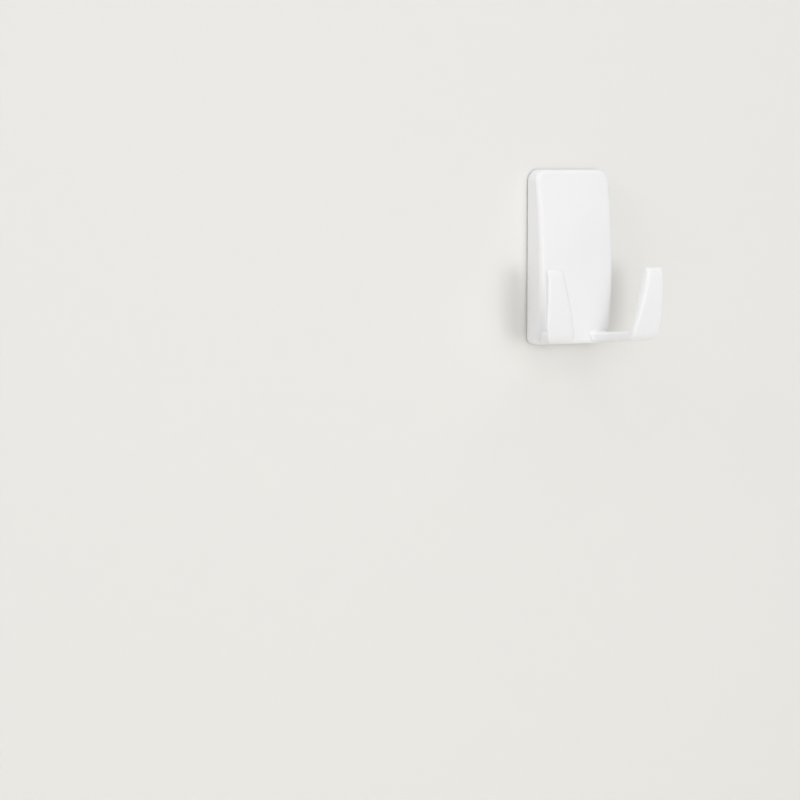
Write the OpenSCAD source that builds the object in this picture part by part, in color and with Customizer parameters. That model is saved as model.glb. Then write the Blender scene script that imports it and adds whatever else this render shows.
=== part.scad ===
// Wall-hung razor holder: a slide-on cover with two upturned prongs, its mounting base, and the
// foam strip that holds the base on the wall.
// The wall is the plane y = 0 and the holder stands out of it towards -Y. +Z is up.
// The origin is the middle of the bonded face.

/* [Cover] */
// Height of the cover plate
cover_h = 60; // [54:1:66]
// Width of the cover plate at the wall
cover_w = 28.5; // [27:0.5:34]
// Depth of the cover from the wall to the top of its bow
cover_d = 10.3; // [9:0.1:13]
// Gap between the cover's rim and the wall
rim_gap = 0.45; // [0.2:0.05:0.8]
// How much each side leans in from the wall to the front
side_draft = 0.2; // [0:0.05:0.6]
// Radius of the cover's upper corners, seen from the front
upper_corner_r = 4; // [2:0.1:5]
// Radius of the cover's lower corners, seen from the front
lower_corner_r = 2.2; // [1.9:0.1:4]
// Radius of the soft edge all round the front
front_edge_r = 1.2; // [0.8:0.1:1.9]
// Radius of the front's bow, seen from the side
bow_r = 145; // [130:1:400]
// Height of the bow's crest above the cover's lower edge
crest_h = 27; // [24:0.5:36]
// How far the front falls from its centre line to its sides
crown = 0.35; // [0:0.05:1]
// Thickness of the cover's side walls
side_wall = 1.6; // [1.2:0.1:2]
// Thickness of the cover's front wall
front_wall = 2.2; // [1.6:0.1:3]
// Thickness of the cover's top wall
top_wall = 2.3; // [1.8:0.1:4]
// Thickness of the ribs behind the front
rib_t = 1.2; // [0.8:0.1:2]
// Height of the solid foot that carries the prongs
foot_h = 7; // [5:0.5:10]
// Height of the web on each side of the base's way out at the lower edge
mouth_h = 4; // [2.5:0.1:5]

/* [Prongs] */
// Distance from the wall to the front of the fingers
reach = 31.6; // [26:0.1:38]
// Width over both fingers
finger_span = 44.2; // [38:0.2:52]
// Height of the finger tips above the cover's lower edge
tip_h = 27.1; // [20:0.1:34]
// Width of a finger at its tip
tip_w = 5.8; // [4:0.1:8]
// Width of a finger at its foot
heel_w = 11.2; // [9:0.1:13]
// Thickness of a prong
prong_t = 3.4; // [2.6:0.1:4.4]
// How far a prong's underside climbs from the wall to its heel
climb = 2.1; // [0:0.1:5]
// Outer radius of the heel, where the arm turns up
heel_r = 5.2; // [4.8:0.1:8]
// Angle at which the fingers point away from each other, seen from above
splay = 9; // [4:0.5:12]
// How far inside the cover's sides the arms leave its front
arm_inset = 1.4; // [0.2:0.1:2]
// Angle at which the arms' outer sides leave the cover, seen from above
flare = 10; // [0:1:20]
// Height over which a finger's outer edge curves in to its foot
curve_in_h = 14; // [8:1:18]
// How far a finger's outer edge curves in at its foot
curve_in = 2.1; // [0:0.1:3]
// How far the inner corner of a heel is rounded off, seen from the front
heel_corner = 1; // [0:0.1:2.5]
// How much thicker a prong is at the middle of its heel
heel_gusset = 0.7; // [0:0.1:1.2]
// Share of the finger's height over which its taper sets in
taper_ease = 0.1; // [0.04:0.01:0.3]
// Radius of a prong's long edges
prong_edge_r = 0.9; // [0.4:0.1:1.2]
// Radius of the edge round a finger tip
tip_edge_r = 0.7; // [0.3:0.1:1.1]
// Radius of the fillet where a prong leaves the cover
root_fillet_r = 1.6; // [0.5:0.1:4]

/* [Mounting base] */
// Height of the base
base_h = 44; // [40:0.5:47]
// Width of the base's flange at its lower end
flange_w = 21; // [20:0.1:22]
// How much narrower the flange is at its upper end
flange_taper = 0.6; // [0:0.1:1]
// Thickness of the flange
flange_t = 1.4; // [1.2:0.1:1.6]
// Width of the pad that the strip bonds to
pad_w = 17; // [16.5:0.1:17.5]
// Thickness of the pad
pad_t = 1.2; // [1.1:0.1:1.6]
// Radius of the base's lower corners
base_corner_r = 2; // [0.5:0.1:4]
// Length of the lead-in at the base's upper corners
lead_in = 2.5; // [1:0.1:4]
// Depth of the hollows in the base's front
core_depth = 1.2; // [0.6:0.1:1.4]
// Width of the walls between the hollows
core_wall = 1.6; // [1:0.1:2.5]
// Radius of the notch over the pull tab
notch_r = 5; // [3:0.1:6]

/* [Adhesive strip] */
// Width of the strip
strip_w = 16; // [12:0.1:16.5]
// Height of the bonded part of the strip
strip_h = 41; // [32:0.5:43]
// Length of the pull tab below the bonded part
tab_l = 9; // [7.5:0.1:9.5]
// Corner radius of the pull tab's free end
tab_corner_r = 4; // [1:0.1:6]
// Corner radius of the strip's upper end
strip_corner_r = 1.5; // [0.5:0.1:3]
// Thickness of the foam
foam_t = 0.7; // [0.5:0.05:1]
// Thickness of each adhesive layer
adhesive_t = 0.1; // [0.05:0.01:0.15]
// Thickness of the film on each side of the pull tab
film_t = 0.06; // [0.03:0.01:0.1]

/* [Slide fit] */
// Clearance between the cover and the base's flange
slide_gap = 0.15; // [0.08:0.01:0.25]
// Clearance between the lips and the wall side of the strip and pad
lip_gap = 0.3; // [0.2:0.05:0.5]
// Clearance beside the flange in the channel's mouth
mouth_gap = 0.4; // [0.2:0.05:0.8]
// How much further from the wall the lips lie than the pad's bonded face
pad_inset = 0.1; // [0:0.05:0.2]
// Length of each pair of guides
guide_l = 12; // [6:0.5:16]
// Height of each pair of guides above and below the middle of the base
guide_offset = 13; // [9:0.5:14]
// Height of the stop that rests on the base's upper edge
stop_h = 2.7; // [1.5:0.1:4]
// Width of the stop
stop_w = 14; // [8:0.5:16]

/* [Hidden] */

plastic_white = [0.95, 0.95, 0.94];
base_white = [0.90, 0.90, 0.88];
foam_white = [0.96, 0.96, 0.93];
adhesive_clear = [0.86, 0.88, 0.84];
film_white = [0.98, 0.98, 0.98];

// Depths from the wall, layer by layer
pad_back = 2 * adhesive_t + foam_t;
flange_back = pad_back + pad_t;
flange_front = flange_back + flange_t;
channel_d = flange_front + slide_gap;
lip_back = pad_back + pad_inset;

// Heights
base_top = base_h / 2;
hollow_top = base_top + stop_h;
cover_top = hollow_top + top_wall;
cover_bottom = cover_top - cover_h;
crest_z = cover_bottom + crest_h;
strip_bottom = -strip_h / 2;
tip_z = cover_bottom + tip_h;

// Half widths
half_w = cover_w / 2;
hollow_half_w = half_w - side_draft - side_wall;
lip_half_w = pad_w / 2 + lip_gap;
finger_out = finger_span / 2;

// The slope of the arms' underside, and the heel that turns it up into the finger
arm_slope = atan(climb / (reach - heel_r));
heel_n = reach - heel_r;
heel_z = cover_bottom + heel_n * tan(arm_slope) + heel_r / cos(arm_slope);
foot_z = heel_z - heel_r;

// Depth where the prongs start inside the solid foot, in front of the channel
root_floor = 0.7;
root_n = channel_d + root_floor;

// Faces on the round stretches
corner_steps = 6;
arc_fn = 96;

// Overlap of shapes that are joined
over = 0.3;

// Depth of the cover's front at a point: a bow down its length and a slight crown across it
function front_n(x, z) = cover_d - bow_r + sqrt(bow_r * bow_r - pow(z - crest_z, 2))
    - crown * pow(x / half_w, 2);

// Setback of a quarter-round edge of radius r at a distance s into it
function round_off(r, s) = s >= r ? 0 : r - sqrt(r * r - pow(r - max(s, 0), 2));

// The cover's outline drawn in by an inset, counterclockwise seen from the front
function cover_outline(inset) = let (
        ru = max(upper_corner_r - inset, 0.4), rl = max(lower_corner_r - inset, 0.4),
        xu = half_w - inset - ru, xl = half_w - inset - rl,
        zu = cover_top - inset - ru, zl = cover_bottom + inset + rl,
        corners = [[xu, zu, ru, 0, 5], [-xu, zu, ru, 90, 12], [-xl, zl, rl, 180, 5], [xl, zl, rl, 270, 12]])
    [for (k = [0:3]) let (c = corners[k], d = corners[(k + 1) % 4], end = c[3] + 90,
            p = arc_point(c, end), q = arc_point(d, end))
        each concat([for (i = [0:corner_steps]) arc_point(c, c[3] + 90 * i / corner_steps)],
                    [for (i = [1:c[4]]) p + (q - p) * i / (c[4] + 1)])];
function arc_point(c, a) = [c[0] + c[2] * cos(a), c[1] + c[2] * sin(a)];
cover_centre = [0, (cover_top + cover_bottom) / 2];

function at_front(q, drop) = [q[0], drop - front_n(q[0], q[1]), q[1]];

// Skin between rings of the same number of points, closed at each end by a fan to a middle point
function middle(ring) = [for (k = [0:2]) let (v = [for (p = ring) p[k]]) (min(v) + max(v)) / 2];
function skin(rings, first, last) = let (m = len(rings[0]), n = len(rings), top = (n - 1) * m)
    [concat([for (r = rings) each r], [first, last]),
     [for (i = [0:m - 1]) let (j = (i + 1) % m)
        each concat([[n * m, i, j], [n * m + 1, top + j, top + i]],
            [for (k = [0:n - 2]) let (a = k * m, b = a + m) each [[a + i, b + j, a + j], [a + i, b + i, b + j]]])]];

// The cover plate as one solid: a rim, drafted sides, a rounded edge and a bowed front
module cover_plate() {
    rim = [for (q = cover_outline(0)) [q[0], -rim_gap, q[1]]];
    edge = [for (a = [0:18:90]) [for (q = cover_outline(side_draft + front_edge_r * (1 - cos(a))))
        at_front(q, front_edge_r * (1 - sin(a)))]];
    inner = cover_outline(side_draft + front_edge_r);
    face = [for (s = [0.8, 0.6, 0.4, 0.2]) [for (q = inner) at_front(cover_centre + s * (q - cover_centre), 0)]];
    shape = skin(concat([rim], edge, face), middle(rim), at_front(cover_centre, 0));
    polyhedron(shape[0], shape[1]);
}

// Depth at which the front face stands above the arms, where they come out of it
face_n = front_n(half_w / 2, cover_bottom + prong_t + root_fillet_r);

// Sideways place of a prong's inner and outer sides at a depth n and a height z
arm_start_n = face_n - front_edge_r;
function along_arm(n) = max(0, (n - arm_start_n) / (reach - arm_start_n));
function splay_shift(n) = -tan(splay) * (reach - n);
function flare_shift(n) = let (f = along_arm(n), start = half_w - side_draft - arm_inset - finger_out)
    start * (1 - f * f * (3 - 2 * f))
    + (reach - arm_start_n) * (tan(flare) * f * pow(1 - f, 2) - tan(splay) * f * f * (1 - f));
function curve_shift(n, z) = -curve_in * pow(max(0, 1 - (z - foot_z) / curve_in_h), 2) * sin(90 * along_arm(n));
function taper_shift(z) = let (t = max(0, z - foot_z) / (tip_z - foot_z))
    (heel_w - tip_w) * t * t * (1 + taper_ease) / (t + taper_ease);
function corner_shift(z) = heel_corner * pow(1 - min(1, max(0, (z - foot_z) / heel_r)), 2);
function root_round(n) = round_off(root_fillet_r, n - face_n);
function side_round(n, z) = root_round(n) * min(1, max(0, (z - cover_bottom) / prong_t));
function inner_x(n, z) = finger_out - heel_w + taper_shift(z) + corner_shift(z) + splay_shift(n) - side_round(n, z);
function outer_x(n, z) = finger_out + curve_shift(n, z) + flare_shift(n);

// Stations along a prong's outside: depth, height, direction of the outward normal, thickness, inset,
// and what its upper corners' radius grows by
arm_start = face_n + root_fillet_r;
arm_steps = 7;
heel_steps = 8;
finger_steps = 7;
function arm_station(n) = [n, cover_bottom + n * tan(arm_slope), arm_slope - 90,
    prong_t + root_round(n), 0, root_round(n)];
prong_stations = concat(
    [arm_station(root_n)],
    [for (b = [0:15:90]) arm_station(face_n + root_fillet_r * (1 - cos(b)))],
    [for (i = [1:arm_steps]) arm_station(arm_start + (heel_n - arm_start) * i / arm_steps)],
    [for (i = [1:heel_steps]) let (a = (arm_slope - 90) * (1 - i / heel_steps))
        [heel_n + heel_r * cos(a), heel_z + heel_r * sin(a), a,
         prong_t + heel_gusset * sin(-2 * a), 0, 0]],
    [for (i = [1:finger_steps])
        [reach, heel_z + (tip_z - tip_edge_r - heel_z) * i / finger_steps, 0, prong_t, 0, 0]],
    [for (a = [30, 60, 90])
        [reach, tip_z - tip_edge_r * (1 - sin(a)), 0, prong_t, tip_edge_r * (1 - cos(a)), 0]]);

// Share of the long edges' radius that is lost at the very tip
tip_edge_share = 0.3;

// The four rounded corners of a prong's section: side (inner or outer) and face (outside or inside)
function section_point(s, side, face, a) = let (
        r = prong_edge_r * (1 - tip_edge_share * s[4] / tip_edge_r) + face * s[5],
        into = face == 0 ? s[4] + r * (1 - sin(a)) : s[3] - s[4] - r * (1 - sin(a)),
        n = s[0] - into * cos(s[2]),
        z = s[1] - into * sin(s[2]),
        in = s[4] + r * (1 - cos(a)),
        x = side == 0 ? inner_x(n, z) + in : outer_x(n, z) - in)
    [x, -n, z];
function section_ring(s) = concat(
    [for (i = [0:4]) section_point(s, 0, 0, 90 * i / 4)],
    [for (i = [4:-1:0]) section_point(s, 1, 0, 90 * i / 4)],
    [for (i = [0:4]) section_point(s, 1, 1, 90 * i / 4)],
    [for (i = [4:-1:0]) section_point(s, 0, 1, 90 * i / 4)]);

// A prong: an arm that leaves the cover's foot, turns up at the heel and tapers to a finger tip
module prong() {
    rings = [for (s = prong_stations) section_ring(s)];
    shape = skin(rings, middle(rings[0]), middle(rings[len(rings) - 1]));
    polyhedron(shape[0], shape[1]);
}

// A flat layer: a drawing in x and z, laid at a depth from the wall and given a thickness
module layer(depth, thickness) {
    translate([0, -depth, 0]) rotate([90, 0, 0]) linear_extrude(thickness) children();
}

// A block by its centre line x, its lower and upper height, its width and its depths
module block(x, z0, z1, w, n0, n1) {
    translate([x - w / 2, -n1, z0]) cube([w, n1 - n0, z1 - z0]);
}

// The inside of the cover's walls, so that the hollow follows the outer corners
module within_walls() {
    intersection() {
        translate([0, 1, 0]) rotate([90, 0, 0]) linear_extrude(cover_d + 1)
            polygon(cover_outline(side_draft + side_wall));
        children();
    }
}

// The channel that the base slides in, open at the wall
module channel() {
    block(0, cover_bottom + mouth_h, hollow_top, 2 * hollow_half_w, -1, channel_d);
}

// The channel's narrower mouth at the lower edge
module mouth() {
    block(0, cover_bottom - 1, cover_bottom + mouth_h + over, flange_w + 2 * mouth_gap, -1, channel_d);
}

// The hollow behind the front, in cells between ribs, with its ceiling parallel to the bow
module cored_front() {
    z0 = cover_bottom + foot_h;
    cell_w = (2 * hollow_half_w - 2 * rib_t) / 3;
    cell_h = (hollow_top - z0 - 3 * rib_t) / 4;
    intersection() {
        translate([-half_w, bow_r - cover_d, crest_z]) rotate([0, 90, 0])
            cylinder(r = bow_r - front_wall - crown, h = cover_w, $fn = 256);
        union() for (i = [0:2], j = [0:3])
            block((i - 1) * (cell_w + rib_t), z0 + j * (cell_h + rib_t), z0 + j * (cell_h + rib_t) + cell_h,
                  cell_w, channel_d - over, cover_d);
    }
}

// A pair of guides at height z: side faces beside the flange, and lips that reach behind it
module guide_pair(z) {
    face_x = flange_half_w(z - guide_l / 2) + slide_gap;
    for (side = [-1, 1]) {
        block(side * (face_x + hollow_half_w + over) / 2, z - guide_l / 2, z + guide_l / 2,
              hollow_half_w + over - face_x, lip_back, channel_d + over);
        block(side * (lip_half_w + hollow_half_w + over) / 2, z - guide_l / 2, z + guide_l / 2,
              hollow_half_w + over - lip_half_w, lip_back, flange_back - slide_gap);
    }
}

// The stop that rests on the base's upper edge
module stop() {
    block(0, base_top, hollow_top + over, stop_w, lip_back, channel_d + over);
}

module holder_body() color(plastic_white) {
    difference() {
        union() {
            cover_plate();
            prong();
            mirror([1, 0, 0]) prong();
        }
        within_walls() {
            channel();
            cored_front();
        }
        mouth();
    }
    for (z = [-guide_offset, guide_offset]) guide_pair(z);
    stop();
}

// Half width of the flange at a height, narrower towards its upper end
function flange_half_w(z) = (flange_w - flange_taper * (z + base_top) / base_h) / 2;

// Points of a quarter circle about a centre
function quarter(x, z, r, a) = [for (i = [0:6]) [x + r * cos(a + 15 * i), z + r * sin(a + 15 * i)]];

// An upright outline with rounded lower corners and cut upper corners
module tapered_outline(half_bottom, half_top, cut) {
    polygon(concat(
        quarter(base_corner_r - half_bottom, base_corner_r - base_top, base_corner_r, 180),
        quarter(half_bottom - base_corner_r, base_corner_r - base_top, base_corner_r, 270),
        [[half_top, base_top - cut], [half_top - cut / 2, base_top],
         [cut / 2 - half_top, base_top], [-half_top, base_top - cut]]));
}

module mounting_base() color(base_white) {
    cell_w = (pad_w - 3 * core_wall) / 2;
    cell_z0 = notch_r + core_wall - base_top;
    cell_h = (base_top - core_wall - cell_z0 - 2 * core_wall) / 3;
    difference() {
        union() {
            layer(pad_back, pad_t + over) tapered_outline(pad_w / 2, pad_w / 2, lead_in / 2);
            layer(flange_back, flange_t) tapered_outline(flange_w / 2, flange_half_w(base_top), lead_in);
        }
        translate([0, 0, -base_top]) rotate([90, 0, 0])
            cylinder(r = notch_r, h = 3 * flange_front, center = true, $fn = arc_fn);
        for (side = [-1, 1], j = [0:2])
            block(side * (cell_w + core_wall) / 2, cell_z0 + j * (cell_h + core_wall),
                  cell_z0 + j * (cell_h + core_wall) + cell_h, cell_w, flange_front - core_depth, flange_front + 1);
    }
}

// The bonded part of the strip, from a lower height to its upper end
module bonded_outline() {
    x = strip_w / 2 - strip_corner_r;
    z = strip_h / 2 - strip_corner_r;
    polygon(concat([[-strip_w / 2, strip_bottom], [strip_w / 2, strip_bottom]],
        quarter(x, z, strip_corner_r, 0), quarter(-x, z, strip_corner_r, 90)));
}

// The pull tab, with its free end rounded
module tab_outline() {
    x = strip_w / 2 - tab_corner_r;
    z = strip_bottom - tab_l + tab_corner_r;
    polygon(concat([[strip_w / 2, strip_bottom], [-strip_w / 2, strip_bottom]],
        quarter(-x, z, tab_corner_r, 180), quarter(x, z, tab_corner_r, 270)));
}

module foam_strip() color(foam_white) {
    layer(adhesive_t, foam_t) union() {
        bonded_outline();
        tab_outline();
    }
}

module wall_adhesive() color(adhesive_clear) layer(0, adhesive_t) bonded_outline();

module base_adhesive() color(adhesive_clear) layer(adhesive_t + foam_t, adhesive_t) bonded_outline();

module tab_film_wall() color(film_white) layer(adhesive_t - film_t, film_t) tab_outline();

module tab_film_room() color(film_white) layer(adhesive_t + foam_t, film_t) tab_outline();

holder_body();
mounting_base();
foam_strip();
wall_adhesive();
base_adhesive();
tab_film_wall();
tab_film_room();
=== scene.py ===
# %% [markdown]
# # A wall-hung razor holder
#
# The object is a small bathroom fitting. A moulded white cover with two upturned prongs slides
# down over a flat mounting base, and a strip of foam with adhesive on both sides holds that base
# on the wall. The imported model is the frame: it gives each piece's place and the way it moves.
# The frame is loaded first, and every measure here is either read from it or named in millimetres.

# %% Load the frame
import math

import bpy
import numpy as np
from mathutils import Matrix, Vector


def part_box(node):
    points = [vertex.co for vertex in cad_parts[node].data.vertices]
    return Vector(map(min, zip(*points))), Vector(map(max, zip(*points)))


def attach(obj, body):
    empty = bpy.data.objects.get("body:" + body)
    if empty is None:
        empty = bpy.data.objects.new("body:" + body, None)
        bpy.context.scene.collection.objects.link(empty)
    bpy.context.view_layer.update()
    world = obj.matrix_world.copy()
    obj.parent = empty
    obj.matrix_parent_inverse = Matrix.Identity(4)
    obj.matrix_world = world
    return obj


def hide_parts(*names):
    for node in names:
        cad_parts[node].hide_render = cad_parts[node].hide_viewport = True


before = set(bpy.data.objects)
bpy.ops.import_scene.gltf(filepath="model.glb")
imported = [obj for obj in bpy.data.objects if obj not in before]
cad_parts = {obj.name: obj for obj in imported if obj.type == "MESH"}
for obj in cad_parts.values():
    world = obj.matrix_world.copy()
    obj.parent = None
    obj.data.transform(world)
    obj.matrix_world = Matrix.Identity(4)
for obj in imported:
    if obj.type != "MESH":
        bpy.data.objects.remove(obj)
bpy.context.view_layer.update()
MM = 0.001


def node_box(node):
    """Lowest and highest corners of a node of the frame, in millimetres."""
    low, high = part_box(node)
    return np.array(low) / MM, np.array(high) / MM


body_low, body_high = node_box("holder_body")
base_low, base_high = node_box("mounting_base")
foam_low, foam_high = node_box("foam_strip")

# %% [markdown]
# ## The camera
#
# The picture looks at the holder from its left and from about its own height, through a fairly
# long lens, so the sides of the cover hardly draw together. The lens is tipped down a little, which
# puts the holder in the upper right of the frame. A place, two angles and a focal length describe
# such a view. It has no shift and no roll, so that the camera can be walked round the object.

# %% Place the camera
CAMERA_AT_MM = (-384.19, -738.29, 29.44)
CAMERA_TURN = 23.595
CAMERA_PITCH = 5.659
SENSOR_MM = 36.0
FOCAL_MM = 108.0
NEAREST_M = 0.01

camera = bpy.data.objects.new("camera", bpy.data.cameras.new("camera"))
bpy.context.scene.collection.objects.link(camera)
camera.location = [v * MM for v in CAMERA_AT_MM]
camera.rotation_euler = (math.radians(90 - CAMERA_PITCH), 0, math.radians(-CAMERA_TURN))
camera.data.sensor_width = SENSOR_MM
camera.data.lens = FOCAL_MM
camera.data.clip_start = NEAREST_M
bpy.context.scene.camera = camera
print("camera", [round(v, 4) for v in camera.location])

# %% [markdown]
# ## From arrays to a mesh
#
# Nearly every piece here is a stack of closed rings: the rim of the cover, the step of its side,
# the soft edge of its front. A numpy array of rings times points times three holds such a stack,
# and the quads between neighbouring rings follow from the array's shape alone. The two ends are
# closed by fans to a middle point, and the enclosed volume tells whether the faces point outwards.

# %% Skin a stack of rings
def skin(name, rings, first=None, last=None):
    """A closed mesh from rings (count, around, 3), in millimetres.

    Quad (k, i) joins points i and i + 1 of ring k to those of ring k + 1, and a fan closes each
    end at its middle point. A negative volume, the sum of a . (b x c) / 6 over the triangles
    (a, b, c), means that the faces point inwards, and then each face's order is turned round.
    """
    count, around = rings.shape[:2]
    first = rings[0].mean(0) if first is None else first
    last = rings[-1].mean(0) if last is None else last
    points = np.vstack([rings.reshape(-1, 3), first, last])
    index = np.arange(count * around).reshape(count, around)
    ahead = np.roll(index, -1, axis=1)
    quads = np.stack([index[:-1], ahead[:-1], ahead[1:], index[1:]], axis=-1).reshape(-1, 4)
    start = np.stack([ahead[0], index[0], np.full(around, count * around)], axis=-1)
    end = np.stack([index[-1], ahead[-1], np.full(around, count * around + 1)], axis=-1)
    triangles = np.vstack([quads[:, [0, 1, 2]], quads[:, [0, 2, 3]], start, end])
    a, b, c = (points[triangles[:, k]] for k in range(3))
    turn = slice(None, None, -1 if np.einsum("ij,ij->", a, np.cross(b, c)) < 0 else 1)
    mesh = bpy.data.meshes.new(name)
    faces = [f[turn] for f in quads.tolist() + start.tolist() + end.tolist()]
    mesh.from_pydata(points.tolist(), [], faces)
    piece = bpy.data.objects.new(name, mesh)
    bpy.context.scene.collection.objects.link(piece)
    return piece


# %% [markdown]
# ## Outlines with round corners
#
# Moulded and die-cut shapes have no sharp corners. One function gives all of their outlines: a
# convex polygon whose corners are arcs. It can draw the outline in by an inset, which keeps the
# same number of points, so that outlines with different insets stack into a piece with soft edges.

# %% Draw a rounded outline
ARC_STEPS = 10
POINT_SPACING = 1.6
LEAST_RADIUS = 0.08


def rounded_outline(corners, radii, inset=0.0):
    """Points (x, z) of a convex polygon with arcs at its corners, counterclockwise.

    With outward normals p and q of the two edges at a corner, the arc of radius r drawn in by an
    inset d has its centre at corner - (r + d) (p + q) / (1 + p . q), and it turns from p to q.
    """
    corners = np.asarray(corners, float)
    radii = np.maximum(np.broadcast_to(radii, len(corners)) - inset, LEAST_RADIUS)
    along = np.roll(corners, -1, axis=0) - corners
    length = np.linalg.norm(along, axis=1)
    leaving = np.stack([along[:, 1], -along[:, 0]], axis=1) / length[:, None]
    coming = np.roll(leaving, 1, axis=0)
    lean = 1 + np.einsum("ij,ij->i", coming, leaving)
    centres = corners - (radii + inset)[:, None] * (coming + leaving) / lean[:, None]
    begin = np.arctan2(coming[:, 1], coming[:, 0])
    turn = np.arccos(np.clip(lean - 1, -1, 1))
    angle = begin[:, None] + turn[:, None] * np.linspace(0, 1, ARC_STEPS + 1)
    arcs = centres[:, None] + radii[:, None, None] * np.stack([np.cos(angle), np.sin(angle)], -1)
    outline = []
    for arc, following, side in zip(arcs, np.roll(arcs, -1, axis=0), length):
        parts = max(1, round(side / POINT_SPACING))
        share = np.linspace(0, 1, parts + 1)[1:-1, None]
        outline += [arc, arc[-1] + (following[0] - arc[-1]) * share]
    return np.vstack(outline)


def rectangle(low_x, high_x, low_z, high_z):
    """The four corners of an upright rectangle, counterclockwise from the lower right."""
    return [(high_x, low_z), (high_x, high_z), (low_x, high_z), (low_x, low_z)]


# %% [markdown]
# ## Slabs, blocks and tools
#
# A slab is one outline carried along the depth, with its edges eased by quarter rounds. It makes
# the base's plates, the foam, the films and, as a tool that cuts, the hollows behind the cover's
# front. Depths are measured out of the wall, so depth n is at y = -n.

# %% Make a slab and combine pieces
EDGE_STEPS = 4


def at_depth(outline, depth):
    """The outline's points at a depth from the wall, as (x, y, z)."""
    return np.stack([outline[:, 0], np.broadcast_to(-depth, len(outline)), outline[:, 1]], axis=1)


def slab(name, corners, radii, depths, edges=(0.0, 0.0)):
    """A plate between two depths. Each edge radius e is a quarter round: inset e (1 - sin t) and
    depth e (1 - cos t) from the face, for t from 0 on the face to 90 degrees on the side."""
    near, far = depths
    angle = np.linspace(0, math.pi / 2, EDGE_STEPS + 1)
    rings = []
    for depth, edge, side in ((near, edges[0], 1), (far, edges[1], -1)):
        if edge == 0:
            part = [at_depth(rounded_outline(corners, radii), depth)]
        else:
            part = [at_depth(rounded_outline(corners, radii, edge * (1 - math.sin(t))),
                             depth + side * edge * (1 - math.cos(t))) for t in angle]
        rings += part if side == 1 else part[::-1]
    return skin(name, np.array(rings))


def combine(piece, others, operation):
    """Adds the other solids to the piece (UNION) or cuts them out of it (DIFFERENCE)."""
    for other in others:
        step = piece.modifiers.new(operation, "BOOLEAN")
        step.operation = operation
        step.solver = "MANIFOLD"
        step.object = other
    settle(piece)
    for other in others:
        bpy.data.objects.remove(other)
    return piece


def settle(piece):
    """Applies the modifiers: the evaluated mesh takes the place of the piece's own."""
    graph = bpy.context.evaluated_depsgraph_get()
    made = bpy.data.meshes.new_from_object(piece.evaluated_get(graph))
    old = piece.data
    piece.modifiers.clear()
    piece.data = made
    bpy.data.meshes.remove(old)
    made.name = piece.name


# %% [markdown]
# ## Finishing a piece
#
# A finished piece is scaled to metres, shaded smooth with real edges kept sharp, given to the body
# that it moves with, and the node of the frame that it stands for is hidden.

# %% Finish a piece
SHARP_ANGLE = math.radians(34)


def finish_piece(piece, body, node, material):
    """Scales to metres, shades, rides, replaces its node and takes its material and slot."""
    points = np.empty(len(piece.data.vertices) * 3, np.float32)
    piece.data.vertices.foreach_get("co", points)
    piece.data.vertices.foreach_set("co", points * MM)
    piece.data.shade_smooth()
    piece.data.set_sharp_from_angle(angle=SHARP_ANGLE)
    weighted = piece.modifiers.new("weighted", "WEIGHTED_NORMAL")
    weighted.keep_sharp = True
    piece.data.update()
    settle(piece)
    piece.data.materials.clear()
    piece.data.materials.append(material)
    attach(piece, body)
    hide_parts(node)
    size = np.array(piece.dimensions) / MM
    print(piece.name, len(piece.data.polygons), "faces", np.round(size, 2), "mm")
    return piece


# %% [markdown]
# ## The cover
#
# The cover is a shallow box with one bowed side. Seen from the side its front is an arc of 145 mm
# radius, and across it falls by a third of a millimetre, which is what makes the light run softly
# over it. The sides lean in a little, so that the part comes out of its mould. The surface is a
# stack of outlines from the rim, up the side, round the edge and over the front to its middle.

# %% Measures of the cover
COVER_W = 28.5
BOW_RADIUS = 145.0
CREST_H = 27.0
CROWN = 0.35
COVER_D = 10.3
SIDE_DRAFT = 0.2
FRONT_EDGE_R = 1.5
RIM_EDGE_R = 0.25
UPPER_CORNER_R = 4.0
LOWER_CORNER_R = 2.2
SIDE_STEPS = 7
FRONT_EDGE_STEPS = 14
FRONT_STEPS = 25

half_w = COVER_W / 2
cover_bottom, cover_top = body_low[2], body_high[2]
rim_n = -body_high[1]
crest_z = cover_bottom + CREST_H


def front_n(x, z):
    """Depth of the front: an arc down its length, less a parabola across its width."""
    bow = COVER_D - BOW_RADIUS + np.sqrt(BOW_RADIUS**2 - (z - crest_z) ** 2)
    return bow - CROWN * (x / half_w) ** 2


def cover_outline(inset):
    """The cover's outline, drawn in by an inset."""
    corners = rectangle(-half_w, half_w, cover_bottom, cover_top)
    radii = [LOWER_CORNER_R, UPPER_CORNER_R, UPPER_CORNER_R, LOWER_CORNER_R]
    return rounded_outline(corners, radii, inset)


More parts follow.
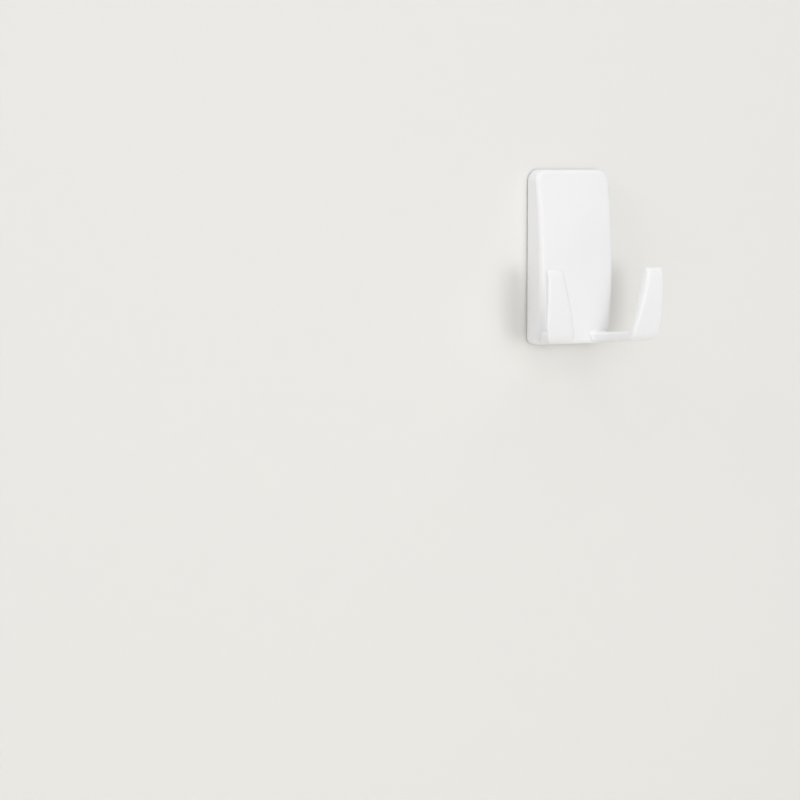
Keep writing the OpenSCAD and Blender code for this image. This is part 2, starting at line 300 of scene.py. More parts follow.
# %% Make the cover's outer surface
def cover_skin():
    """Rings from the wall outwards: the eased rim, the leaning side, a quarter-round edge of
    inset r (1 - cos t) and drop r (1 - sin t), and copies of the last outline shrunk to a point."""
    rim = np.linspace(0, math.pi / 2, EDGE_STEPS + 1)
    rings = [at_depth(cover_outline(RIM_EDGE_R * (1 - math.sin(t))),
                      rim_n + RIM_EDGE_R * (1 - math.cos(t))) for t in rim]
    side = cover_outline(SIDE_DRAFT)
    side_top = front_n(side[:, 0], side[:, 1]) - FRONT_EDGE_R
    near = rim_n + RIM_EDGE_R
    for share in np.linspace(0, 1, SIDE_STEPS + 1)[1:-1]:
        rings.append(at_depth(cover_outline(SIDE_DRAFT * share), near + (side_top - near) * share))
    for t in np.linspace(0, math.pi / 2, FRONT_EDGE_STEPS + 1):
        edge = cover_outline(SIDE_DRAFT + FRONT_EDGE_R * (1 - math.cos(t)))
        drop = FRONT_EDGE_R * (1 - math.sin(t))
        rings.append(at_depth(edge, front_n(edge[:, 0], edge[:, 1]) - drop))
    inner = cover_outline(SIDE_DRAFT + FRONT_EDGE_R)
    middle = np.array([0, (cover_top + cover_bottom) / 2])
    for share in np.linspace(1, 0, FRONT_STEPS + 1)[1:-1]:
        face = middle + (inner - middle) * share
        rings.append(at_depth(face, front_n(face[:, 0], face[:, 1])))
    pole = np.array([0, -front_n(0, middle[1]), middle[1]])
    return skin("holder_body_visual", np.array(rings), last=pole)


# %% [markdown]
# ## The prongs
#
# Each prong is one bar with a rounded rectangular section. It leaves the cover's foot, reaches
# into the room, turns up at its heel and tapers to its tip. Such a form is a section carried along
# a path, but here the sides do not simply follow the path: they flare, splay and taper with depth
# and height. So every section point is first placed on the path's own face, which gives its depth
# and height, and its sideways place is then read from two functions of these. Seen from the side,
# a finger's back is straight and its front is bowed, foremost at three quarters of its height.

# %% Measures of the prongs
FINGER_SPAN = 44.2
TIP_H = 27.1
TIP_W = 5.8
HEEL_W = 11.2
PRONG_T = 3.4
CLIMB = 2.1
HEEL_R = 5.2
SPLAY = math.radians(9)
FLARE = math.radians(10)
ARM_INSET = 1.4
ARM_START = 1.2
CURVE_IN_H = 9.0
CURVE_IN = 1.2
HEEL_CORNER = 0.4
FINGER_BOW_R = 75.0
FINGER_CREST_H = 20.1
HEEL_LEAN = math.radians(11.5)
INNER_HEEL_R = 2.0
TAPER_EASE = 0.1
PRONG_EDGE_R = 1.1
TIP_EDGE_R = 0.7
TIP_EDGE_SHARE = 0.3
TIP_ROUND_H = 3.4
TIP_ROUND_T = 1.5
ROOT_FILLET_R = 1.6
ROOT_N = 4.35
ROOT_STEPS = 12
ARM_STEPS = 25
HEEL_STEPS = 28
FINGER_STEPS = 25
TIP_STEPS = 18
CORNER_STEPS = 8
FLAT_STEPS = 6

reach = -body_low[1]
finger_out = FINGER_SPAN / 2
tip_z = cover_bottom + TIP_H
heel_n = reach - HEEL_R
arm_slope = math.atan(CLIMB / heel_n)
foot_z = cover_bottom + CLIMB
crest_n, bow_z = reach - FINGER_BOW_R, cover_bottom + FINGER_CREST_H
bow_end_n = crest_n + FINGER_BOW_R * math.cos(HEEL_LEAN)
bow_end_z = bow_z - FINGER_BOW_R * math.sin(HEEL_LEAN)
face_n = front_n(half_w / 2, cover_bottom + PRONG_T + ROOT_FILLET_R)
arm_start_n = face_n - ARM_START


def root_round(n):
    """Height of the root's fillet at a depth: a quarter circle that starts on the cover's face."""
    left = ROOT_FILLET_R - np.clip(n - face_n, 0, ROOT_FILLET_R)
    return ROOT_FILLET_R - np.sqrt(ROOT_FILLET_R**2 - left**2)


def inner_x(n, z):
    """Inner side: the foot's width, less the taper, the splay and the fillet at the root."""
    height = np.maximum(0, z - foot_z) / (tip_z - foot_z)
    taper = (HEEL_W - TIP_W) * height**2 * (1 + TAPER_EASE) / (height + TAPER_EASE)
    corner = HEEL_CORNER * (1 - np.clip((z - foot_z) / HEEL_R, 0, 1)) ** 2
    fillet = root_round(n) * np.clip((z - cover_bottom) / PRONG_T, 0, 1)
    return finger_out - HEEL_W + taper + corner - math.tan(SPLAY) * (reach - n) - fillet


def outer_x(n, z):
    """Outer side: a cubic with the flare's slope at the cover and the splay's at the finger."""
    length = reach - arm_start_n
    f = np.maximum(0, (n - arm_start_n) / length)
    start = half_w - SIDE_DRAFT - ARM_INSET - finger_out
    flare = start * (1 - f * f * (3 - 2 * f)) + length * (
        math.tan(FLARE) * f * (1 - f) ** 2 - math.tan(SPLAY) * f * f * (1 - f))
    curve = CURVE_IN * np.maximum(0, 1 - (z - foot_z) / CURVE_IN_H) ** 2
    return finger_out - curve * np.sin(math.pi / 2 * f) + flare


# %% Lay out the stations along a prong
def drawn_in(z, height, depth):
    """How far a quarter ellipse of this height and depth, which ends at the tip, has drawn in."""
    share = np.clip((z - tip_z) / height + 1, 0, 1)
    return depth * (1 - np.sqrt(1 - share**2))


def heel_circle():
    """Centre and radius of the circle that touches the end of the finger's bow and the underside.

    It lies on the bow's end normal, at a leaning angle L, and r above the underside of slope s:
    height of the bow's end above the underside = r (1 / cos s - sin L - cos L tan s).
    """
    above = bow_end_z - cover_bottom - bow_end_n * math.tan(arm_slope)
    radius = above / (1 / math.cos(arm_slope) - math.sin(HEEL_LEAN)
                      - math.cos(HEEL_LEAN) * math.tan(arm_slope))
    return bow_end_n - radius * math.cos(HEEL_LEAN), bow_end_z + radius * math.sin(HEEL_LEAN), radius


def prong_stations():
    """Rows of outside depth and height, inside depth and height, inset and extra radius: a start
    inside the foot, the fillet at the root, the arm's straight underside, the heel's arc, the
    finger's bow and the eased tip. The inside has a heel of its own and a straight back."""
    heel_at_n, heel_at_z, heel_round = heel_circle()
    quarter = np.linspace(0, math.pi / 2, ROOT_STEPS + 1)
    n = np.concatenate([
        [ROOT_N, (ROOT_N + face_n) / 2], face_n + ROOT_FILLET_R * (1 - np.cos(quarter)),
        np.linspace(face_n + ROOT_FILLET_R, heel_at_n, ARM_STEPS + 1)[1:]])
    rise = root_round(n)
    z = cover_bottom + n * math.tan(arm_slope)
    thick = PRONG_T + rise
    arm = [n, z, n - thick * math.sin(arm_slope), z + thick * math.cos(arm_slope), 0 * n, rise]

    under = arm_slope - math.pi / 2
    share = np.linspace(0, 1, HEEL_STEPS + 1)[1:]
    a = under + (-HEEL_LEAN - under) * share
    b = under * (1 - share)
    back_n = reach - PRONG_T
    inner_n = back_n - INNER_HEEL_R
    inner_z = (cover_bottom + inner_n * math.tan(arm_slope)
               + (PRONG_T + INNER_HEEL_R) / math.cos(arm_slope))
    heel = [heel_at_n + heel_round * np.cos(a), heel_at_z + heel_round * np.sin(a),
            inner_n + INNER_HEEL_R * np.cos(b), inner_z + INNER_HEEL_R * np.sin(b), 0 * a, 0 * a]

    round_z = tip_z - TIP_ROUND_H
    share = np.linspace(0, 1, FINGER_STEPS + 1)[1:]
    tip = round_z + TIP_ROUND_H * np.sin(np.linspace(0, math.pi / 2, TIP_STEPS + 1)[1:])
    z_out = np.concatenate([bow_end_z + (round_z - bow_end_z) * share, tip])
    z_in = np.concatenate([inner_z + (round_z - inner_z) * share, tip])
    bow = crest_n + np.sqrt(FINGER_BOW_R**2 - (z_out - bow_z) ** 2)
    front = bow - drawn_in(z_out, TIP_ROUND_H, TIP_ROUND_T)
    inset = drawn_in(z_out, TIP_EDGE_R, TIP_EDGE_R)
    finger = [front, z_out, 0 * z_in + back_n, z_in, inset, 0 * bow]
    return np.vstack([np.stack(part, axis=1) for part in (arm, heel, finger)])


def prong_section():
    """Section points as share across (0 inner, 1 outer), share inwards (0 outside, 1 inside) and
    angle on the corner's arc, with the flats between the corners divided evenly."""
    quarter = np.linspace(0, math.pi / 2, CORNER_STEPS + 1)
    flat = np.linspace(0, 1, FLAT_STEPS + 1)[1:-1]
    right = math.pi / 2
    parts = [
        (0 * quarter, 0 * quarter, quarter), (flat, 0 * flat, 0 * flat + right),
        (0 * quarter + 1, 0 * quarter, quarter[::-1]), (0 * flat + 1, flat, 0 * flat),
        (0 * quarter + 1, 0 * quarter + 1, quarter), (flat[::-1], 0 * flat + 1, 0 * flat + right),
        (0 * quarter, 0 * quarter + 1, quarter[::-1]), (0 * flat, flat[::-1], 0 * flat),
    ]
    return [np.concatenate(column) for column in zip(*parts)]


# %% Carry the section along a prong
def prong(name, side):
    """For a corner of radius r, a point at angle a lies r (1 - sin a) in from the face and
    r (1 - cos a) in from the side, both counted on top of the station's inset. Where the section
    is thinner than the bar, the dip from the face shrinks with it."""
    out_n, out_z, in_n, in_z, inset, extra = prong_stations().T[:, :, None]
    across, inwards, a = prong_section()
    thick = np.hypot(out_n - in_n, out_z - in_z)
    radius = PRONG_EDGE_R * (1 - TIP_EDGE_SHARE * inset / TIP_EDGE_R) + inwards * extra
    dip = (inset + radius * (1 - np.sin(a))) * np.minimum(1, thick / PRONG_T) / thick
    into = dip * (1 - inwards) + (1 - dip) * inwards
    n = out_n + (in_n - out_n) * into
    z = out_z + (in_z - out_z) * into
    margin = inset + radius * (1 - np.cos(a))
    x = (inner_x(n, z) + margin) * (1 - across) + (outer_x(n, z) - margin) * across
    return skin(name, np.stack([side * x, -n, z], axis=-1))


# %% [markdown]
# ## Behind the cover's front
#
# The cover is moulded with one wall thickness nearly everywhere, so that it cools evenly: a channel
# for the base, and a grid of thin ribs behind the front. The foot that carries the prongs is
# thicker. The hollows are cut as rounded tools. Their far corners have the small fillets that real
# ribs have at their roots, and their ceiling runs parallel to the bow outside. Two faint discs on
# the foot are where the mould's pins pushed the part out.

# %% Measures behind the front
SIDE_WALL = 1.6
TOP_WALL = 2.3
FRONT_WALL = 2.2
RIB_T = 1.2
FOOT_H = 7.0
MOUTH_H = 4.0
MOUTH_GAP = 0.4
FLANGE_W = 21.0
FLANGE_TAPER = 0.6
SLIDE_GAP = 0.15
LIP_GAP = 0.3
PAD_W = 17.0
PAD_INSET = 0.1
GUIDE_L = 12.0
GUIDE_OFFSET = 13.0
STOP_W = 14.0
FLANGE_T = 1.4
HOLLOW_CORNER_R = 0.6
RIB_ROOT_R = 0.5
RIB_ROOT_STEPS = 6
CHANNEL_CORNER_R = 0.5
CHANNEL_ROOT_R = 0.15
GUIDE_CORNER_R = 0.25
GUIDE_EDGE = 0.15
STOP_CORNER_R = 0.3
PIN_MARK_R = 1.5
PIN_MARK_DEPTH = 0.12
PIN_MARK_X = 7.0
NEARLY_ROUND = 0.99
SOFT_EDGE = 0.2
JOIN = 0.3
PAST = 1.0

hollow_top = cover_top - TOP_WALL
hollow_half_w = half_w - SIDE_DRAFT - SIDE_WALL
pad_n, flange_n = -base_high[1], -base_low[1]
channel_n = flange_n + SLIDE_GAP
lip_n = pad_n + PAD_INSET
base_bottom, base_top = base_low[2], base_high[2]


def flange_half_w(z):
    """Half width of the base's flange at a height: it narrows evenly towards its upper end."""
    return (FLANGE_W - FLANGE_TAPER * (z - base_bottom) / (base_top - base_bottom)) / 2


def pocket(name, low_x, high_x, low_z, high_z):
    """A tool for one hollow: sides with a soft rim, and a fillet under a bowed ceiling."""
    corners = rectangle(low_x, high_x, low_z, high_z)
    rings = [at_depth(rounded_outline(corners, HOLLOW_CORNER_R, -SOFT_EDGE), channel_n - JOIN)]
    for t in np.linspace(0, math.pi / 2, EDGE_STEPS + 1):
        edge = rounded_outline(corners, HOLLOW_CORNER_R, -SOFT_EDGE * (1 - math.sin(t)))
        rings.append(at_depth(edge, channel_n + SOFT_EDGE * (1 - math.cos(t))))
    for t in np.linspace(0, math.pi / 2, RIB_ROOT_STEPS + 1):
        edge = rounded_outline(corners, HOLLOW_CORNER_R, RIB_ROOT_R * (1 - math.cos(t)))
        ceiling = front_n(0 * edge[:, 0], edge[:, 1]) - FRONT_WALL - CROWN
        rings.append(at_depth(edge, ceiling - RIB_ROOT_R * (1 - math.sin(t))))
    return skin(name, np.array(rings))


# %% Make the cover
def pockets():
    """Three by four hollows between the ribs."""
    low_z = cover_bottom + FOOT_H
    cell_w = (2 * hollow_half_w - 2 * RIB_T) / 3
    cell_h = (hollow_top - low_z - 3 * RIB_T) / 4
    for column in (-1, 0, 1):
        for row in range(4):
            x = column * (cell_w + RIB_T)
            z = low_z + row * (cell_h + RIB_T)
            yield pocket("hollow", x - cell_w / 2, x + cell_w / 2, z, z + cell_h)


def channel():
    """Tools for the channel that the base slides in, and for its narrower mouth."""
    mouth_x = FLANGE_W / 2 + MOUTH_GAP
    wide = rectangle(-hollow_half_w, hollow_half_w, cover_bottom + MOUTH_H, hollow_top)
    mouth = rectangle(-mouth_x, mouth_x, cover_bottom - PAST, cover_bottom + MOUTH_H + JOIN)
    yield slab("channel", wide, CHANNEL_CORNER_R, (rim_n - JOIN, channel_n), (0, CHANNEL_ROOT_R))
    yield slab("mouth", mouth, STOP_CORNER_R, (rim_n - JOIN, channel_n), (0, CHANNEL_ROOT_R))


def pin_marks():
    """Tools for the shallow round marks that the mould's ejector pins leave behind the foot."""
    z = cover_bottom + FOOT_H / 2
    for x in (-PIN_MARK_X, PIN_MARK_X):
        corners = rectangle(x - PIN_MARK_R, x + PIN_MARK_R, z - PIN_MARK_R, z + PIN_MARK_R)
        yield slab("pin_mark", corners, NEARLY_ROUND * PIN_MARK_R,
                   (channel_n - JOIN, channel_n + PIN_MARK_DEPTH))


def guides():
    """Two pairs of guides beside the flange, each with a lip that reaches behind it."""
    lip_x = PAD_W / 2 + LIP_GAP
    wall_x = hollow_half_w + JOIN
    for z in (-GUIDE_OFFSET, GUIDE_OFFSET):
        low, high = z - GUIDE_L / 2, z + GUIDE_L / 2
        face_x = flange_half_w(low) + SLIDE_GAP
        for side in (-1, 1):
            face = sorted((side * face_x, side * wall_x))
            lip = sorted((side * lip_x, side * wall_x))
            yield slab("guide", rectangle(*face, low, high), GUIDE_CORNER_R,
                       (lip_n, channel_n + JOIN), (GUIDE_EDGE, 0))
            yield slab("lip", rectangle(*lip, low, high), GUIDE_CORNER_R,
                       (lip_n, flange_n - FLANGE_T - SLIDE_GAP), (GUIDE_EDGE, GUIDE_EDGE))


def stop():
    """The bar that rests on the base's upper edge."""
    corners = rectangle(-STOP_W / 2, STOP_W / 2, base_top, hollow_top + JOIN)
    yield slab("stop", corners, STOP_CORNER_R, (lip_n, channel_n + JOIN), (SOFT_EDGE, 0))


cover = combine(cover_skin(), [prong("prong", side) for side in (-1, 1)], "UNION")
combine(cover, [*channel(), *pockets(), *pin_marks()], "DIFFERENCE")
combine(cover, [*guides(), *stop()], "UNION")
print("cover", len(cover.data.vertices), "points")

# %% [markdown]
# ## The mounting base
#
# The base is two plates in one moulding. The narrow one is the pad that the strip bonds to, and
# the wider one in front of it is the flange that the cover's guides run along. Its upper corners
# are cut as a lead-in, and a half-round notch at its lower end leaves room for the pull tab.

# %% Make the mounting base
PAD_T = 1.2
BASE_CORNER_R = 2.0
LEAD_IN = 2.5
CORE_DEPTH = 1.2
CORE_WALL = 1.6
LEAD_CORNER_R = 0.4
CORE_CORNER_R = 0.6
CORE_ROOT_R = 0.3
PAD_EDGE = 0.15
FLANGE_EDGE = 0.25
NOTCH_R = 5.0
NOTCH_SIDES = 8


def base_plate(name, half_bottom, half_top, cut, depths, edges):
    """A plate with rounded lower corners and cut upper corners, wider below than above."""
    corners = [(half_bottom, base_bottom), (half_top, base_top - cut), (half_top - cut / 2, base_top),
               (cut / 2 - half_top, base_top), (-half_top, base_top - cut), (-half_bottom, base_bottom)]
    radii = [BASE_CORNER_R, *[LEAD_CORNER_R] * 4, BASE_CORNER_R]
    return slab(name, corners, radii, depths, edges)


def base_hollows():
    """Two by three hollows in the flange, and the half-round notch at the lower end."""
    cell_w = (PAD_W - 3 * CORE_WALL) / 2
    low_z = base_bottom + NOTCH_R + CORE_WALL
    cell_h = (base_top - CORE_WALL - low_z - 2 * CORE_WALL) / 3
    for side in (-1, 1):
        for row in range(3):
            x = side * (cell_w + CORE_WALL) / 2
            z = low_z + row * (cell_h + CORE_WALL)
            corners = rectangle(x - cell_w / 2, x + cell_w / 2, z, z + cell_h)
            yield slab("core", corners, CORE_CORNER_R, (flange_n - CORE_DEPTH, flange_n + JOIN),
                       (CORE_ROOT_R, 0))
    around = np.linspace(0, 2 * math.pi, NOTCH_SIDES, endpoint=False)
    out = NOTCH_R / math.cos(math.pi / NOTCH_SIDES)
    corners = out * np.stack([np.cos(around), np.sin(around)], axis=1)
    yield slab("notch", corners + [0, base_bottom], NOTCH_R, (pad_n - PAST, flange_n + PAST))


base = base_plate("mounting_base_visual", PAD_W / 2, PAD_W / 2, LEAD_IN / 2,
                  (pad_n, pad_n + PAD_T + JOIN), (PAD_EDGE, 0))
flange = base_plate("flange", FLANGE_W / 2, flange_half_w(base_top), LEAD_IN,
                    (pad_n + PAD_T, flange_n), (PAD_EDGE, FLANGE_EDGE))
combine(base, [flange], "UNION")
combine(base, [*base_hollows()], "DIFFERENCE")
print("base", len(base.data.vertices), "points")

# %% [markdown]
# ## The strip
#
# The strip is die cut from a sheet of closed-cell foam with adhesive on both faces. Below the base
# its lower end is covered with film on both sides, so that fingers can pull it without sticking.
# The layers are thin plates with plain cut edges.

# %% Make the strip's layers
STRIP_CORNER_R = 1.5
TAB_CORNER_R = 4.0
SQUARE_CORNER_R = 0.1
CUT_EDGE = 0.02
FOAM_EDGE = 0.06

strip_half_w = foam_high[0]
tab_bottom, strip_top = foam_low[2], foam_high[2]
bonded_bottom = node_box("wall_adhesive")[0][2]
tab_radii = [TAB_CORNER_R, SQUARE_CORNER_R, SQUARE_CORNER_R, TAB_CORNER_R]
bonded_radii = [SQUARE_CORNER_R, STRIP_CORNER_R, STRIP_CORNER_R, SQUARE_CORNER_R]
foam_radii = [TAB_CORNER_R, STRIP_CORNER_R, STRIP_CORNER_R, TAB_CORNER_R]


def strip_layer(node, bottom, top, radii, edge=CUT_EDGE):
    """A die-cut layer of the strip, between the depths of the node that it stands for."""
    low, high = node_box(node)
    corners = rectangle(-strip_half_w, strip_half_w, bottom, top)
    return slab(node + "_visual", corners, radii, (-high[1], -low[1]), (edge, edge))


strip = {
    "foam_strip": strip_layer("foam_strip", tab_bottom, strip_top, foam_radii, FOAM_EDGE),
    "wall_adhesive": strip_layer("wall_adhesive", bonded_bottom, strip_top, bonded_radii),
    "base_adhesive": strip_layer("base_adhesive", bonded_bottom, strip_top, bonded_radii),
    "tab_film_wall": strip_layer("tab_film_wall", tab_bottom, bonded_bottom, tab_radii),
    "tab_film_room": strip_layer("tab_film_room", tab_bottom, bonded_bottom, tab_radii),
}
print("strip layers", len(strip))

# %% [markdown]
# ## Materials
#
# Colours are written as the hex values that a paint card would give, and one function turns them
# into the linear numbers that Blender works with. One small function adds a node, sets its inputs
# and fields, and links it, so that a material reads from top to bottom.

# %% Colour and node helpers
def colour(hex_value):
    """Linear RGBA of an sRGB hex colour: c / 12.92 when dark, else ((c + 0.055) / 1.055) ** 2.4."""
    parts = np.array([int(hex_value[k:k + 2], 16) for k in (1, 3, 5)]) / 255
    linear = np.where(parts <= 0.04045, parts / 12.92, ((parts + 0.055) / 1.055) ** 2.4)
    return (*linear.tolist(), 1.0)


def add_node(tree, kind, inputs=None, **fields):
    """Adds a node. An input takes a value, or a socket of another node, which is linked to it."""
    made = tree.nodes.new(kind)
    for name, value in fields.items():
        setattr(made, name, value)
    for key, value in (inputs or {}).items():
        if isinstance(value, bpy.types.NodeSocket):
            tree.links.new(value, made.inputs[key])
        else:
            made.inputs[key].default_value = value
    return made


def new_material(name):
    """An empty material with its tree and its object coordinates, in metres."""
    material = bpy.data.materials.new(name)
    material.use_nodes = True
    tree = material.node_tree
    tree.nodes.clear()
    place = add_node(tree, "ShaderNodeTexCoord").outputs["Object"]
    return material, tree, place


def per_mm(size_mm):
    """Noise scale for features of about this size in millimetres."""
    return 1 / (size_mm * MM)


# %% [markdown]
# ### Satin ABS
#
# The cover is white ABS, injection moulded in a lightly textured steel mould. White ABS is dense
# and slightly milky: light enters it a fraction of a millimetre, which softens its edges. Its
# surface reflects about 4 percent of the light that meets it head on (IOR 1.53), and the mould's
# fine grain spreads that reflection into a soft sheen. The real grain is about a tenth of a
# millimetre across, too fine for the picture, so it is drawn at 0.35 mm. A wide, shallow waviness
# is what is left of the way the plastic shrinks over the ribs and the thick foot.

# %% Satin ABS of the cover
def satin_abs():
    """White ABS with a fine mould grain, a faint waviness and a sheen that varies a little."""
    material, tree, place = new_material("satin_white_abs")
    cloud = add_node(tree, "ShaderNodeTexNoise", {"Vector": place, "Scale": per_mm(18), "Detail": 2.0})
    tint = add_node(tree, "ShaderNodeMix", {"Factor": cloud.outputs["Fac"], 6: colour("#F3F3F5"),
                                            7: colour("#EFEFF1")}, data_type="RGBA")
    sheen = add_node(tree, "ShaderNodeTexNoise", {"Vector": place, "Scale": per_mm(4), "Detail": 3.0})
    rough = add_node(tree, "ShaderNodeMapRange", {"Value": sheen.outputs["Fac"], "From Min": 0.3,
                                                  "From Max": 0.7, "To Min": 0.39, "To Max": 0.46})
    grain = add_node(tree, "ShaderNodeTexNoise", {"Vector": place, "Scale": per_mm(0.35), "Detail": 2.0})
    wave = add_node(tree, "ShaderNodeTexNoise", {"Vector": place, "Scale": per_mm(9), "Detail": 1.0})
    shrink = add_node(tree, "ShaderNodeBump", {"Height": wave.outputs["Fac"], "Strength": 1.0,
                                               "Distance": 0.03 * MM})
    bump = add_node(tree, "ShaderNodeBump", {"Height": grain.outputs["Fac"], "Strength": 1.0,
                                             "Distance": 0.002 * MM, "Normal": shrink.outputs["Normal"]})
    shader = add_node(tree, "ShaderNodeBsdfPrincipled", {
        "Base Color": tint.outputs[2], "Roughness": rough.outputs["Result"], "IOR": 1.53,
        "Subsurface Weight": 0.12, "Subsurface Radius": (1.0, 0.95, 0.9), "Subsurface Scale": 0.5 * MM,
        "Normal": bump.outputs["Normal"]})
    add_node(tree, "ShaderNodeOutputMaterial", {"Surface": shader.outputs["BSDF"]})
    return material


# %% [markdown]
# ### Plain ABS
#
# The base is never seen in use, so its mould is only stone finished: the plastic is a shade
# greyer and duller than the cover's, with a coarser grain, drawn at half a millimetre to show.

# %% Plain ABS of the base
def plain_abs():
    """Duller white ABS with a stone-finished mould's coarser grain."""
    material, tree, place = new_material("stone_finished_abs")
    cloud = add_node(tree, "ShaderNodeTexNoise", {"Vector": place, "Scale": per_mm(6), "Detail": 3.0})
    tint = add_node(tree, "ShaderNodeMix", {"Factor": cloud.outputs["Fac"], 6: colour("#E4E4E0"),
                                            7: colour("#DEDEDA")}, data_type="RGBA")
    grain = add_node(tree, "ShaderNodeTexNoise", {"Vector": place, "Scale": per_mm(0.5), "Detail": 3.0})
    rough = add_node(tree, "ShaderNodeMapRange", {"Value": grain.outputs["Fac"], "To Min": 0.5,
                                                  "To Max": 0.62})
    bump = add_node(tree, "ShaderNodeBump", {"Height": grain.outputs["Fac"], "Strength": 1.0,
                                             "Distance": 0.012 * MM})
    shader = add_node(tree, "ShaderNodeBsdfPrincipled", {
        "Base Color": tint.outputs[2], "Roughness": rough.outputs["Result"], "IOR": 1.53,
        "Normal": bump.outputs["Normal"]})
    add_node(tree, "ShaderNodeOutputMaterial", {"Surface": shader.outputs["BSDF"]})
    return material


# %% [markdown]
# ### Foam, adhesive and film
#
# Closed-cell polyethylene foam is matt, off-white and pitted with cut cells a quarter of a
# millimetre across. The adhesive is a clear rubbery layer that lets the foam's colour through and
# shines where it is smooth. The film on the tab is thin polyester, smooth and bright.

# %% Materials of the strip
def cut_foam():
    """Off-white foam: rounded cells from a Voronoi pattern, with painted shade darkening their pits."""
    material, tree, place = new_material("closed_cell_foam")
    cells = add_node(tree, "ShaderNodeTexVoronoi", {"Vector": place, "Scale": per_mm(0.28)})
    # Painted shade: the darker colour goes to the middle of each cell, down in its pit.
    tint = add_node(tree, "ShaderNodeMapRange", {"Value": cells.outputs["Distance"], "From Max": 0.6,
                                                 "To Min": 0.0, "To Max": 1.0})
    mixed = add_node(tree, "ShaderNodeMix", {"Factor": tint.outputs["Result"], 6: colour("#DAD9D0"),
                                             7: colour("#F0EFE8")}, data_type="RGBA")
    bump = add_node(tree, "ShaderNodeBump", {"Height": cells.outputs["Distance"], "Strength": 0.8,
                                             "Distance": 0.06 * MM})
    shader = add_node(tree, "ShaderNodeBsdfPrincipled", {
        "Base Color": mixed.outputs[2], "Roughness": 0.85, "IOR": 1.5, "Normal": bump.outputs["Normal"]})
    add_node(tree, "ShaderNodeOutputMaterial", {"Surface": shader.outputs["BSDF"]})
    return material


def clear_adhesive():
    """Pale pressure-sensitive rubber with the shallow dimples of its release liner."""
    material, tree, place = new_material("clear_rubber_adhesive")
    dimples = add_node(tree, "ShaderNodeTexNoise", {"Vector": place, "Scale": per_mm(1.2), "Detail": 2.0})
    tint = add_node(tree, "ShaderNodeMix", {"Factor": dimples.outputs["Fac"], 6: colour("#DADCD2"),
                                            7: colour("#E6E7DE")}, data_type="RGBA")
    bump = add_node(tree, "ShaderNodeBump", {"Height": dimples.outputs["Fac"], "Strength": 1.0,
                                             "Distance": 0.03 * MM})
    shader = add_node(tree, "ShaderNodeBsdfPrincipled", {
        "Base Color": tint.outputs[2], "Roughness": 0.24, "IOR": 1.47, "Normal": bump.outputs["Normal"]})
    add_node(tree, "ShaderNodeOutputMaterial", {"Surface": shader.outputs["BSDF"]})
    return material


def polyester_film():
    """Smooth white film that has puckered slightly where it was pressed on."""
    material, tree, place = new_material("white_polyester_film")
    pucker = add_node(tree, "ShaderNodeTexNoise", {"Vector": place, "Scale": per_mm(3), "Detail": 2.0})
    tint = add_node(tree, "ShaderNodeMix", {"Factor": pucker.outputs["Fac"], 6: colour("#F4F4F3"),
                                            7: colour("#ECECEC")}, data_type="RGBA")
    bump = add_node(tree, "ShaderNodeBump", {"Height": pucker.outputs["Fac"], "Strength": 1.0,
                                             "Distance": 0.02 * MM})
    shader = add_node(tree, "ShaderNodeBsdfPrincipled", {
        "Base Color": tint.outputs[2], "Roughness": 0.18, "IOR": 1.6, "Normal": bump.outputs["Normal"]})
    add_node(tree, "ShaderNodeOutputMaterial", {"Surface": shader.outputs["BSDF"]})
    return material


# %% Give every piece its finish
adhesive, film = clear_adhesive(), polyester_film()
finish_piece(cover, "cover", "holder_body", satin_abs())
finish_piece(base, "mount", "mounting_base", plain_abs())
finish_piece(strip["foam_strip"], "mount", "foam_strip", cut_foam())
finish_piece(strip["wall_adhesive"], "mount", "wall_adhesive", adhesive)
finish_piece(strip["base_adhesive"], "mount", "base_adhesive", adhesive)
finish_piece(strip["tab_film_wall"], "mount", "tab_film_wall", film)
finish_piece(strip["tab_film_room"], "mount", "tab_film_room", film)

# %% [markdown]
# ## The wall, the floor and the light
#
# A wall-hung piece needs its wall: without it there is no shadow round the rim. The wall is there
# only from the room's side, so the back of the holder can still be looked at through it. The
# picture shows broad light from the front, with more from above and from the upper left: the top
# edge and the fingertips are the brightest places, the heels darken below, and the shadow falls to
# the lower right. Four soft lamps do this, and a plain pale world fills the rest.

# %% Make the stage
WALL_GAP = 0.05
STAGE_MM = 900.0
FLOOR_Z = -260.0


def plain_sheet(name, corners_mm, material):
    """A flat sheet of the stage from four corners in millimetres."""
    mesh = bpy.data.meshes.new(name)
    mesh.from_pydata((np.array(corners_mm) * MM).tolist(), [], [(0, 1, 2, 3)])
    mesh.materials.append(material)
    made = bpy.data.objects.new(name, mesh)
    bpy.context.scene.collection.objects.link(made)
    return made


def wall_paint():
    """Pale matt wall that is solid for whatever starts in the room. A ray that came through it from
    behind has a transparent depth, and for such a ray the wall stays clear on the way back too."""
    material, tree = new_material("pale_wall")[:2]
    passed = add_node(tree, "ShaderNodeLightPath").outputs["Transparent Depth"]
    back = add_node(tree, "ShaderNodeNewGeometry").outputs["Backfacing"]
    unseen = add_node(tree, "ShaderNodeMath", {0: passed, 1: back}, operation="ADD")
    hidden = add_node(tree, "ShaderNodeMath", {0: unseen.outputs[0], 1: 0.5}, operation="GREATER_THAN")
    paint = add_node(tree, "ShaderNodeBsdfDiffuse", {"Color": colour("#ECEBE8")})
    clear = add_node(tree, "ShaderNodeBsdfTransparent")
    mixed = add_node(tree, "ShaderNodeMixShader", {0: hidden.outputs[0], 1: paint.outputs[0],
                                                   2: clear.outputs[0]})
    add_node(tree, "ShaderNodeOutputMaterial", {"Surface": mixed.outputs[0]})
    return material


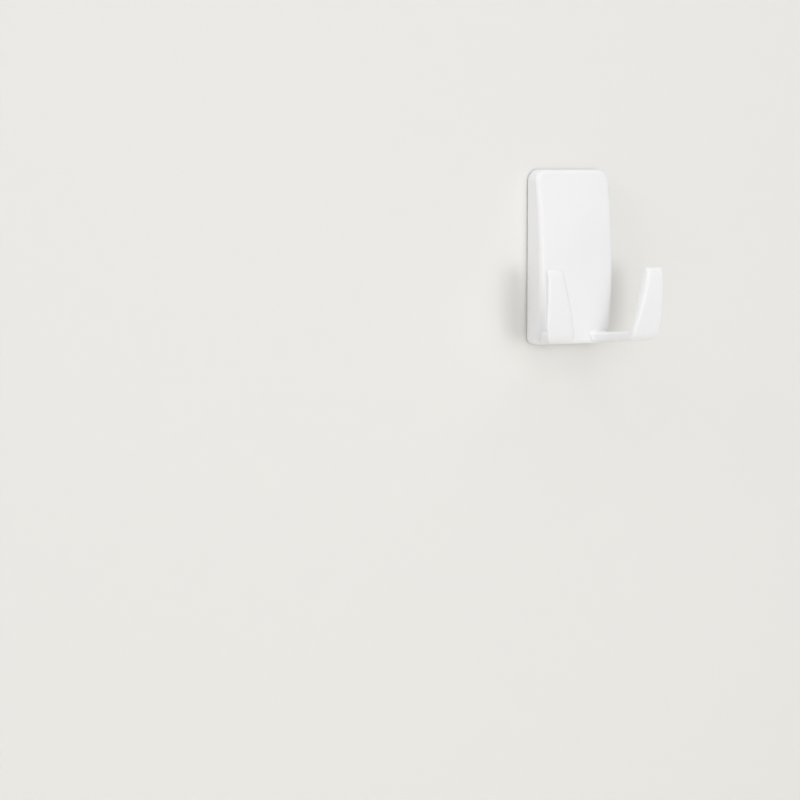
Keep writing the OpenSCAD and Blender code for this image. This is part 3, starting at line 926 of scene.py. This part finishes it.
def floor_paint():
    """Pale matt floor."""
    material, tree = new_material("pale_floor")[:2]
    paint = add_node(tree, "ShaderNodeBsdfDiffuse", {"Color": colour("#EAE9E5")})
    add_node(tree, "ShaderNodeOutputMaterial", {"Surface": paint.outputs[0]})
    return material


low_left, low_right = (-STAGE_MM, WALL_GAP, FLOOR_Z), (STAGE_MM, WALL_GAP, FLOOR_Z)
high_left, high_right = (-STAGE_MM, WALL_GAP, STAGE_MM), (STAGE_MM, WALL_GAP, STAGE_MM)
plain_sheet("wall", [low_left, low_right, high_right, high_left], wall_paint())
near_left, near_right = (-STAGE_MM, -STAGE_MM, FLOOR_Z), (STAGE_MM, -STAGE_MM, FLOOR_Z)
far_left, far_right = (-STAGE_MM, STAGE_MM, FLOOR_Z), (STAGE_MM, STAGE_MM, FLOOR_Z)
plain_sheet("floor", [near_left, near_right, far_right, far_left], floor_paint())

# %% Light the scene
def soft_lamp(name, place_mm, size_mm, watts):
    """A square area lamp that points from its place to the origin, behind the holder's middle."""
    lamp = bpy.data.objects.new(name, bpy.data.lights.new(name, "AREA"))
    lamp.data.size = size_mm * MM
    lamp.data.energy = watts
    lamp.location = np.array(place_mm) * MM
    aim = -np.array(place_mm)
    turn = math.atan2(-aim[0], aim[1])
    tilt = math.atan2(aim[2], math.hypot(aim[0], aim[1]))
    lamp.rotation_euler = (math.pi / 2 + tilt, 0, turn)
    bpy.context.scene.collection.objects.link(lamp)
    return lamp


soft_lamp("front_small", (0, -1200, 20), 260, 2.4)
soft_lamp("front_wide", (0, -1200, 100), 700, 2.7)
soft_lamp("left_high", (-1000, -250, 650), 600, 3.1)
soft_lamp("top", (0, -350, 1200), 1100, 4.8)

world = bpy.data.worlds.new("pale_room")
world.use_nodes = True
world.node_tree.nodes.clear()
glow = add_node(world.node_tree, "ShaderNodeBackground", {"Color": colour("#FFFFFF"), "Strength": 0.4})
add_node(world.node_tree, "ShaderNodeOutputWorld", {"Surface": glow.outputs[0]})
bpy.context.scene.world = world
bpy.context.scene.view_settings.view_transform = "Standard"
